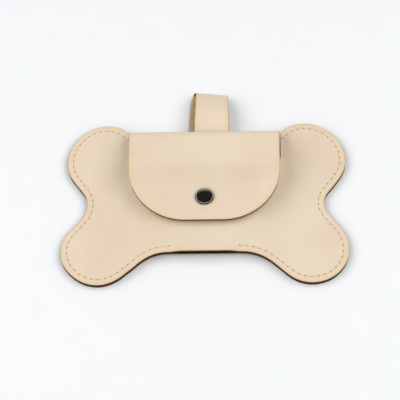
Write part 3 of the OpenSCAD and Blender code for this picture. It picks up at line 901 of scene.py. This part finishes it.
def strap_box():
    """The four sides of the box of stitches that holds the strap's ends."""
    x0 = STRAP_X - STRAP_W / 2 + SEAM_INSET
    x1 = STRAP_X - STRAP_SKEW + STRAP_W / 2 - SEAM_INSET
    y0 = SEAM_INSET - STRAP_END
    y1 = ROLL_Y - ROLL_D / 2 - SEAM_INSET
    corners = np.array([[x0, y0], [x1, y0], [x1, y1], [x0, y1], [x0, y0]])
    return [straight(a, b, 0.5) for a, b in zip(corners[:-1], corners[1:])]


class POUCH_OT_seams(bpy.types.Operator):
    """Make the stitches and their holes along each seam"""
    bl_idname = "pouch.seams"
    bl_label = "Seams"

    def execute(self, context):
        # each seam shows on two surfaces, facing up and down
        outside = ((front_top, 1), (seat, -1))
        inside = ((lambda x, y: RISE + LEATHER_T + 0 * x, 1), (lambda x, y: 0 * x, -1))
        for name, node, lines, faces in (
                ("seam_left", "seam_thread_left", [seam_path(-1)], outside),
                ("seam_right", "seam_thread_right", [seam_path(1)], outside),
                ("strap_seam", "loop_thread", strap_box(), inside)):
            sewn = joined([stitches(line, *face) for line in lines for face in faces])
            obj = dress(make_object(name, *sewn), material("thread"), "thread", node)
            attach(obj, "pouch")
            pierced = [holes(line, *face) for line in lines for face in faces]
            marks = make_object(name + "_holes", *joined(pierced),
                                {"cut": np.concatenate([p[3] for p in pierced])})
            marks.data.materials.append(material("hole"))
            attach(marks, "pouch")
        return {"FINISHED"}


def lathe(name, profile, at, sides=96):
    """A closed turned piece: a profile of [radius, height] that starts and ends on the axis."""
    inner = profile[1:-1]
    turn = np.arange(sides) * 2 * np.pi / sides
    ring = np.stack([inner[:, :1] * np.cos(turn), inner[:, :1] * np.sin(turn),
                     np.repeat(inner[:, 1:], sides, axis=1)], axis=-1).reshape(-1, 3)
    points = np.vstack([ring, [0, 0, profile[0][1]], [0, 0, profile[-1][1]]]) + at
    tris = np.vstack([fan(len(points) - 2, 0, sides, backward=True),
                      fan(len(points) - 1, (len(inner) - 1) * sides, sides)])
    return make_object(name, points, grid_quads(len(inner), sides, True), tris)


class POUCH_OT_snap(bpy.types.Operator):
    """Make the domed cap, and finish the other parts of the snap"""
    bl_idname = "pouch.snap"
    bl_label = "Snap"

    def execute(self, context):
        cap_r, cap_h, sheet = 5.1, 2.3, 0.5
        rim = polar((cap_r - sheet / 2, sheet / 2), sheet / 2, np.linspace(-90, 65, 13))
        # a shallow dome that meets a round shoulder at the angle sweep
        shoulder_r, shoulder_x, sweep = 0.9, 3.72, 20.0
        lean = math.radians(sweep)
        dome_r = (shoulder_x + shoulder_r * math.sin(lean)) / math.sin(lean)
        shoulder_z = cap_h - dome_r * (1 - math.cos(lean)) - shoulder_r * math.cos(lean)
        shoulder = polar((shoulder_x, shoulder_z), shoulder_r, np.linspace(-20, 90 - sweep, 15))
        dome = polar((0.0, cap_h - dome_r), dome_r, np.linspace(90 - sweep, 90, 19))[1:]
        # the post under the flap, with the end of its bore
        post = np.array([[0.0, -1.9], [0.9, -1.9], [0.95, -2.2], [1.3, -2.2], [1.4, -2.05],
                         [1.4, 0.0], [1.45, 0.0]])
        profile = np.vstack([post, rim, shoulder, dome])
        profile[-1, 0] = 0.0
        obj = lathe("snap_button", profile, np.array([0.0, SNAP_Y, CAP_Z + LAY_GAP]))
        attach(dress(obj, material("cap"), "polished_metal", "snap_cap"), "flap")
        for node in ("snap_socket", "snap_spring", "snap_stud", "snap_eyelet"):
            repaint(node, material("snap"))
        return {"FINISHED"}


def roll_grid():
    """The roll as one grid closed both ways: outside, ridged end, bore, ridged end.

    Outside, the radius grows by one film's lap over a turn. On each end the film's turns stand
    out as a spiral, a wave of r and of the angle together.
    """
    sides, lap, bore = 120, 0.22, 0.8
    ridge_h, ridge_pitch, ridge_fade = 0.30, 0.55, 0.125
    crease_h, slack = 0.05, 0.02  # both inwards
    turn = np.arange(sides) / sides
    half = ROLL_L / 2
    x_out = np.linspace(-half, half, 61)
    r_end = np.linspace(ROLL_D / 2, bore, 26)
    x_in = np.linspace(half, -half, 9)
    outer = ROLL_D / 2 - lap * (1 - turn)
    creases = (crease_h * np.sin(x_out[:, None] * 0.9 + 5 * np.sin(2 * np.pi * turn))
               * np.sin(x_out[:, None] * 0.23 + 2 * np.pi * turn))
    share = (ROLL_D / 2 - r_end) / (ROLL_D / 2 - bore)
    ridge = ridge_h / 2 * (1 + np.cos(2 * np.pi * (r_end[:, None] / ridge_pitch + turn)))
    edge = np.minimum(1, np.minimum(share, 1 - share) / ridge_fade)[:, None]
    end_x = half - (ridge * edge)[1:-1]
    end_r = (outer * (1 - share[:, None]) + bore * share[:, None])[1:-1]
    x = np.vstack([np.repeat(x_out[:, None], sides, 1), end_x,
                   np.repeat(x_in[:, None], sides, 1), -end_x[::-1]])
    r = np.vstack([outer + np.minimum(creases, 0) - slack, end_r,
                   np.full((len(x_in), sides), bore), end_r[::-1]])
    angle = -2 * np.pi * turn - 0.5 * np.pi
    points = np.stack([x, ROLL_Y + r * np.cos(angle), ROLL_Z + r * np.sin(angle)], axis=-1)
    # the last row of quads ends on the grid's first row of points
    quads = grid_quads(len(x) + 1, sides, True) % (len(x) * sides)
    return points.reshape(-1, 3), quads


def loose_end_grid():
    """The loose end: a thin closed strip whose pleats deepen and narrow towards its torn edge."""
    cols, rows, film = 121, 70, 0.10
    lift = 0.67  # of its middle over the back panel
    half_w, drawn_in = 15.5, 2.6  # half width at the roll, and how much of it the pleats take
    tear, tear_from = 0.28, 0.985
    u = np.linspace(-1, 1, cols)[None, :]
    v = np.linspace(0, 1, rows)[:, None]
    back, front = ROLL_Y - ROLL_D / 4 - 0.6, 3 - SHAFT_Y
    gather = ease(v * 1.3)
    x = u * (half_w - drawn_in * gather) + 0.25 * np.sin(9 * u + 4 * v) * gather
    y = back + (front - back) * v + 0 * u
    torn = tear * np.abs(np.sin(u * 46)) * (v > tear_from)
    pleat = ((0.10 + 0.22 * gather) * np.sin(u * 17 + 2.2 * np.sin(3 * v + 1))
             * (0.75 + 0.25 * np.cos(5 * u)))
    z = RISE + LEATHER_T + lift + pleat + 0.10 * np.sin(6 * v)
    low = np.stack([x, y + torn, z], axis=-1)
    grid = np.concatenate([low, low[:, ::-1] + [0, 0, film]], axis=1)
    loops = 2 * cols
    quads = grid_quads(rows, loops, True)
    # each end closes the strip's loop of points from side to side
    a, b = np.arange(cols - 1), loops - 1 - np.arange(cols - 1)
    cap = np.column_stack([a, b, b - 1, a + 1])
    return grid.reshape(-1, 3), np.vstack([quads[:, ::-1], cap[:, ::-1],
                                           cap + (rows - 1) * loops])


class POUCH_OT_bags(bpy.types.Operator):
    """Make the roll of bags and its loose end"""
    bl_idname = "pouch.bags"
    bl_label = "Bags"

    def execute(self, context):
        roll = make_object("roll_of_bags", *roll_grid())
        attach(dress(roll, material("film"), "bag_film", "bag_roll"), "roll")
        end = make_object("loose_bag", *loose_end_grid())
        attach(dress(end, material("film"), "bag_film", "loose_bag_end"), "bag_end")
        return {"FINISHED"}


# ---- the stage ----
TABLE_HALF, TABLE_Z = 1500.0, -0.3  # in millimetres; the table lies clear under the leather
TABLE_SPECK = (226, 228, 232)
LAMPS = (("left softbox", (-0.68, -0.05, 0.73)), ("right softbox", (0.60, -0.05, 0.80)))
LAMP_SIZE = (1.2, 0.8)
CAMERA_TURN = (62.0, -3.51, 3.78)  # elevation, azimuth and roll, in degrees
CAMERA_AIM_Z = 3 * MM
CAMERA_SHIFT = (-5.09 / 400, 3.52 / 400)
SENSOR = 36.0  # width in millimetres
ROOM_TINT = (1.0, 0.95, 0.88, 1.0)
ROOM_LEAN = -0.6  # how the height at which the room darkens changes with depth
ROOM_FROM, ROOM_TO, ROOM_DARK = -0.55, 0.36, 0.02  # heights between which it darkens to this


def studio_world(world, strength):
    """An even sky, in whose place polished metal sees a dark room with a pale backdrop."""
    w = Nodes(world)
    sky = w.tree.nodes["Background"]
    w.put(sky.inputs["Color"], (1.0, 1.0, 1.0, 1.0))
    w.put(sky.inputs["Strength"], strength)
    view = w.add("ShaderNodeTexCoord").outputs["Generated"]
    heading = w.add("ShaderNodeSeparateXYZ", {"Vector": view}).outputs
    height = w.math("MULTIPLY_ADD", heading["Y"], ROOM_LEAN, heading["Z"])
    glow = w.ramp(height, ROOM_FROM, ROOM_TO, 1.0, ROOM_DARK)
    room = w.add("ShaderNodeBackground", {"Color": ROOM_TINT, "Strength": glow})
    glossy = w.add("ShaderNodeLightPath").outputs["Is Glossy Ray"]
    chosen = w.add("ShaderNodeMixShader", {0: glossy, 1: sky.outputs[0], 2: room.outputs[0]})
    w.put(w.tree.nodes["World Output"].inputs["Surface"], chosen.outputs[0])


def add_lamp(scene, name, watts, place):
    """A rectangular lamp that shines at the origin and isn't mirrored in polished metal."""
    data = bpy.data.lights.new(name, "AREA")
    data.shape, data.energy = "RECTANGLE", watts
    data.size, data.size_y = LAMP_SIZE
    obj = linked(scene, name, data)
    obj.location = place
    obj.rotation_mode = "QUATERNION"
    obj.rotation_quaternion = (-Vector(place)).to_track_quat("-Z", "Y")
    obj.visible_glossy = False


def add_camera(scene, lens, distance):
    """The camera, looking at its aim from CAMERA_TURN's elevation and azimuth, then rolled."""
    data = bpy.data.cameras.new("camera")
    data.sensor_fit, data.sensor_width, data.lens = "HORIZONTAL", SENSOR, lens
    data.shift_x, data.shift_y = CAMERA_SHIFT
    data.clip_start, data.clip_end = 0.05, 10.0
    elevation, azimuth, roll = (math.radians(a) for a in CAMERA_TURN)
    back = Vector((math.sin(-azimuth) * math.cos(elevation),
                   -math.cos(azimuth) * math.cos(elevation), math.sin(elevation)))
    right = Vector((math.cos(azimuth), -math.sin(azimuth), 0.0)).normalized()
    up = back.cross(right)
    x_axis = right * math.cos(roll) - up * math.sin(roll)
    y_axis = right * math.sin(roll) + up * math.cos(roll)
    place = Vector((0, 0, CAMERA_AIM_Z)) + back * distance
    scene.camera = linked(scene, "camera", data)
    scene.camera.matrix_world = (Matrix.Translation(place)
                                 @ Matrix((x_axis, y_axis, back)).transposed().to_4x4())


class POUCH_OT_stage(bpy.types.Operator):
    """Make the pale table, the soft lamps and the camera"""
    bl_idname = "pouch.stage"
    bl_label = "Stage"

    def execute(self, context):
        scene = context.scene
        settings = scene.pouch_stage
        m = Nodes(bpy.data.materials.new("pale table"))
        tint = m.mix(m.spread(m.noise(60.0, 2.0), 0.0, 0.03), tuple(settings.floor),
                     srgb(*TABLE_SPECK))
        m.finish(Base_Color=tint, Roughness=0.7, Specular_IOR_Level=0.2)
        corners = [[x * TABLE_HALF, y * TABLE_HALF, TABLE_Z]
                   for x, y in ((-1, -1), (1, -1), (1, 1), (-1, 1))]
        floor = make_object("table", corners, [[0, 1, 2, 3]])
        floor.data.materials.append(m.owner)
        scene.world = scene.world or bpy.data.worlds.new("studio")
        studio_world(scene.world, settings.sky)
        for name, place in LAMPS:
            add_lamp(scene, name, settings.side_watts, place)
        add_camera(scene, settings.lens, settings.distance)
        scene.view_settings.view_transform = "Standard"
        return {"FINISHED"}


STEPS = (POUCH_OT_panels, POUCH_OT_flap, POUCH_OT_strap, POUCH_OT_seams, POUCH_OT_snap,
         POUCH_OT_bags, POUCH_OT_stage)


class POUCH_PT_panel(bpy.types.Panel):
    """Lists the steps and settings in the sidebar"""
    bl_idname = "POUCH_PT_panel"
    bl_label = "Bone Pouch"
    bl_space_type = "VIEW_3D"
    bl_region_type = "UI"
    bl_category = "Bone Pouch"

    def draw(self, context):
        for step in STEPS:
            self.layout.operator(step.bl_idname)
        for settings in (context.scene.pouch_colours, context.scene.pouch_stage):
            for key in type(settings).__annotations__:
                self.layout.prop(settings, key)


CLASSES = (PouchColours, PouchStage) + STEPS + (POUCH_PT_panel,)


def register():
    for cls in CLASSES:
        bpy.utils.register_class(cls)
    bpy.types.Scene.pouch_colours = bpy.props.PointerProperty(type=PouchColours)
    bpy.types.Scene.pouch_stage = bpy.props.PointerProperty(type=PouchStage)


def unregister():
    del bpy.types.Scene.pouch_stage
    del bpy.types.Scene.pouch_colours
    for cls in reversed(CLASSES):
        bpy.utils.unregister_class(cls)


def main():
    register()
    for step in STEPS:
        group, name = step.bl_idname.split(".")
        getattr(getattr(bpy.ops, group), name)()


if __name__ == "__main__":
    main()
